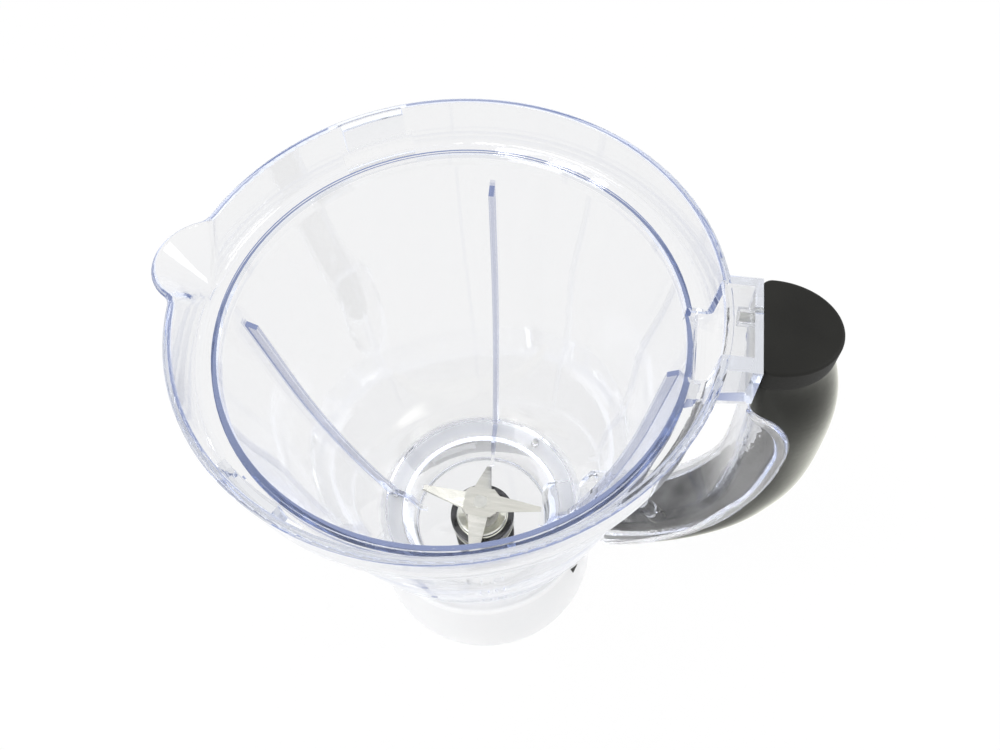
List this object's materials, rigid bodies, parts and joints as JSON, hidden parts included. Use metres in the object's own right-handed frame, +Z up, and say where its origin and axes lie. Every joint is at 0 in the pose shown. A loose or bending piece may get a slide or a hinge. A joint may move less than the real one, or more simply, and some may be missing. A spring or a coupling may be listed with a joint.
{
  "type": "blender jug",
  "caption": "Clear tulip-shaped blender jug with pouring lip, inner ribs, black-backed handle, frosted foot and a turning cross blade driven by a dog coupling.",
  "frame": {"origin": "on the jug's axis at the bottom of its foot, at the mouth of the bore that drops over the motor's spigot", "axes": "+Z up along the jug's axis, +X towards the handle, -X towards the pouring lip"},
  "size_m": [0.2218, 0.1718, 0.2142],
  "materials": {
    "clear_plastic": "clear, polished",
    "frosted_plastic": "frosted",
    "black_gloss": "glossy black",
    "black_matt": "fine matt grain",
    "blade_steel": "polished",
    "bright_metal": "turned and polished",
    "plain_steel": "zinc-bright",
    "bronze": "sintered",
    "brass": "machined",
    "black_rubber": "moulded",
    "nylon": "natural",
    "coupling_plastic": "moulded"
  },
  "bodies": {
    "jug": {"jug_body": "clear_plastic", "base_collar": "frosted_plastic", "base_screws": "plain_steel", "handle_cover": "black_gloss", "handle_cap": "black_matt", "handle_screws": "plain_steel", "bearing_housing": "bright_metal", "housing_gasket": "black_rubber", "clamp_washer": "plain_steel", "clamp_nut": "plain_steel", "upper_bush": "bronze", "lower_bush": "bronze", "shaft_seal": "black_rubber"},
    "blade_unit": {"cross_blade": "blade_steel", "blade_washer": "plain_steel", "spindle": "plain_steel", "upper_thrust_washer": "nylon", "lower_thrust_washer": "nylon", "circlip": "plain_steel", "drive_coupling": "coupling_plastic", "coupling_insert": "brass"}
  },
  "joints": [
    {"name": "blade_spin", "type": "hinge", "parent": "jug", "child": "blade_unit", "pos_m": [0, 0, 0.047], "axis": [0, 0, 1], "continuous": true}
  ]
}
